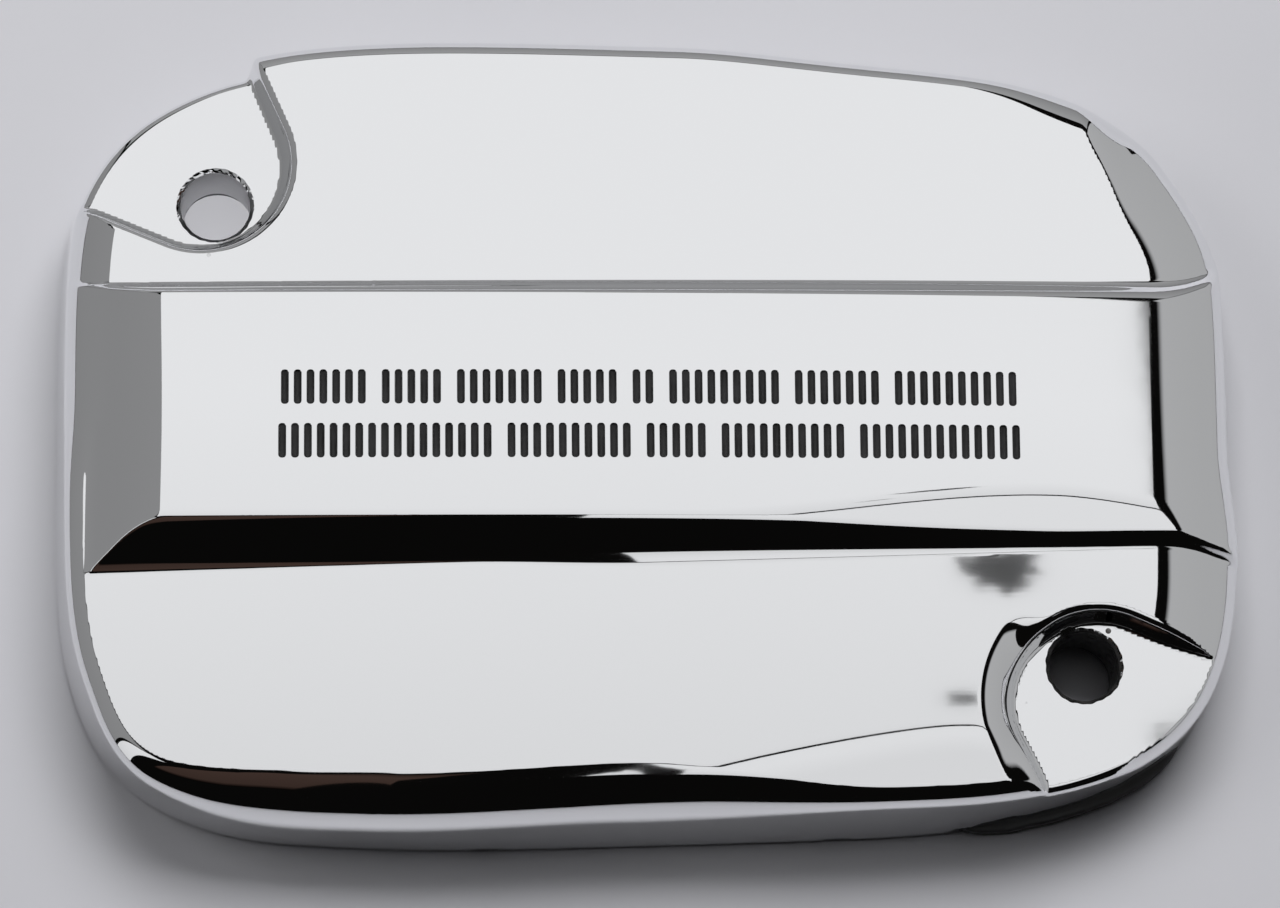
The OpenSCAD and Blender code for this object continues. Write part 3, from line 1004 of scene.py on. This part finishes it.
def ceiling_panel(name, x_range, y_range, fall_from, fall, tone, height=700):
    """Flat panel overhead that dims by fall from fall_from to its front edge."""
    gx, gy = np.meshgrid(np.linspace(*x_range, 20), np.linspace(*y_range, 60), indexing="ij")
    dim = np.clip((fall_from - gy) / (fall_from - y_range[0]), 0, 1)
    return glow_sheet(name, np.stack([gx, gy, np.full_like(gx, height)], axis=-1), tone - fall * dim)


def ragged_card(name, centre, size, tone, height, seed):
    """Small card overhead with an uneven outline."""
    rng = np.random.default_rng(seed)
    a = np.linspace(0, 2 * math.pi, 73)
    edge = 1 + sum(0.16 * rng.random() * np.cos(k * a + 7 * rng.random()) for k in (2, 3, 4, 6, 9, 15))
    spread = np.linspace(0, 1, 4)[:, None] * edge
    points = np.stack([centre[0] + size[0] * spread * np.cos(a), centre[1] + size[1] * spread * np.sin(a),
                       np.full_like(spread, height)], axis=-1)
    glow_sheet(name, points, np.full(spread.shape, tone)).visible_diffuse = False


table()
ceiling_panel("softbox", (-190, 210), (-30, 680), 160, 0.12, 0.86)
ceiling_panel("front_card", (30, 215), (-330, -45), -120, 0.1, 0.8).visible_diffuse = False
ragged_card("dark_flag", (141, 86), (12, 9), 0.07, 694, seed=3)
ragged_card("small_dark_flag", (128, 31), (5, 3), 0.1, 694, seed=8)
tent_panel("brown_shape", (232, 258), (6, 12, 38, 45), (0.02, 0.05, 0.04, 0.0), brown_glow)
tent_panel("left_wall", (128, 206), (17, 89), (0.26, 0.24))
tent_panel("front_left_gap", (208, 219), (17, 89), (0.8, 0.7))
tent_panel("right_wall", (-38, 50), (28, 32, 89), (0.0, 0.43, 0.4))
tent_panel("rear_wall", (52, 126), (47, 89), (0.34, 0.24))


def place_lamp(data, at, target, energy):
    """Lamp that the chrome doesn't mirror: it only lights the table and the rubber."""
    data.energy = energy
    lamp = bpy.data.objects.new(data.name, data)
    scene.collection.objects.link(lamp)
    lamp.location = Vector(at) * MM
    lamp.rotation_euler = (Vector(target) * MM - lamp.location).to_track_quat("-Z", "Y").to_euler()
    lamp.visible_glossy = False
    lamp.visible_camera = False


def table_lamp(name, at, size, energy):
    """Soft lamp aimed at the object; size in metres."""
    data = bpy.data.lights.new(name, "AREA")
    data.shape = "RECTANGLE"
    data.size, data.size_y = size
    place_lamp(data, at, (0, 0, 0), energy)


def hole_lamp(name, at, hole, energy):
    """Narrow beam down one screw hole to the table under it."""
    data = bpy.data.lights.new(name, "SPOT")
    data.spot_size = math.radians(0.9)
    data.spot_blend = 0.2
    data.shadow_soft_size = 0.002
    place_lamp(data, at, (*hole, EAR_Z), energy)


table_lamp("rear_lamp", (70, 400, 620), (0.5, 0.35), 4.6)
table_lamp("left_lamp", (-420, 120, 480), (0.3, 0.3), 0.8)
hole_lamp("left_hole_lamp", (-25, -150, 700), HOLES[0], 15)

world = bpy.data.worlds.new("room")
scene.world = world
world.use_nodes = True
background = world.node_tree.nodes["Background"]
background.inputs["Color"].default_value = (0.9, 0.85, 0.8, 1)
background.inputs["Strength"].default_value = 0.003

# The camera looks down on the cover from in front of it and a little to the left, and isn't rolled.
CAMERA_AT = (-22.38, -103.52, 484.75)
CAMERA_TILT = math.radians(12.037)
CAMERA_TURN = math.radians(-2.561)
camera_data = bpy.data.cameras.new("camera")
camera_data.lens = 177.36
camera_data.sensor_width = 36
camera = bpy.data.objects.new("camera", camera_data)
scene.collection.objects.link(camera)
camera.matrix_world = (Matrix.Translation(Vector(CAMERA_AT) * MM) @ Matrix.Rotation(CAMERA_TILT, 4, "X")
                       @ Matrix.Rotation(CAMERA_TURN, 4, "Y"))
scene.camera = camera

scene.view_settings.view_transform = "Standard"
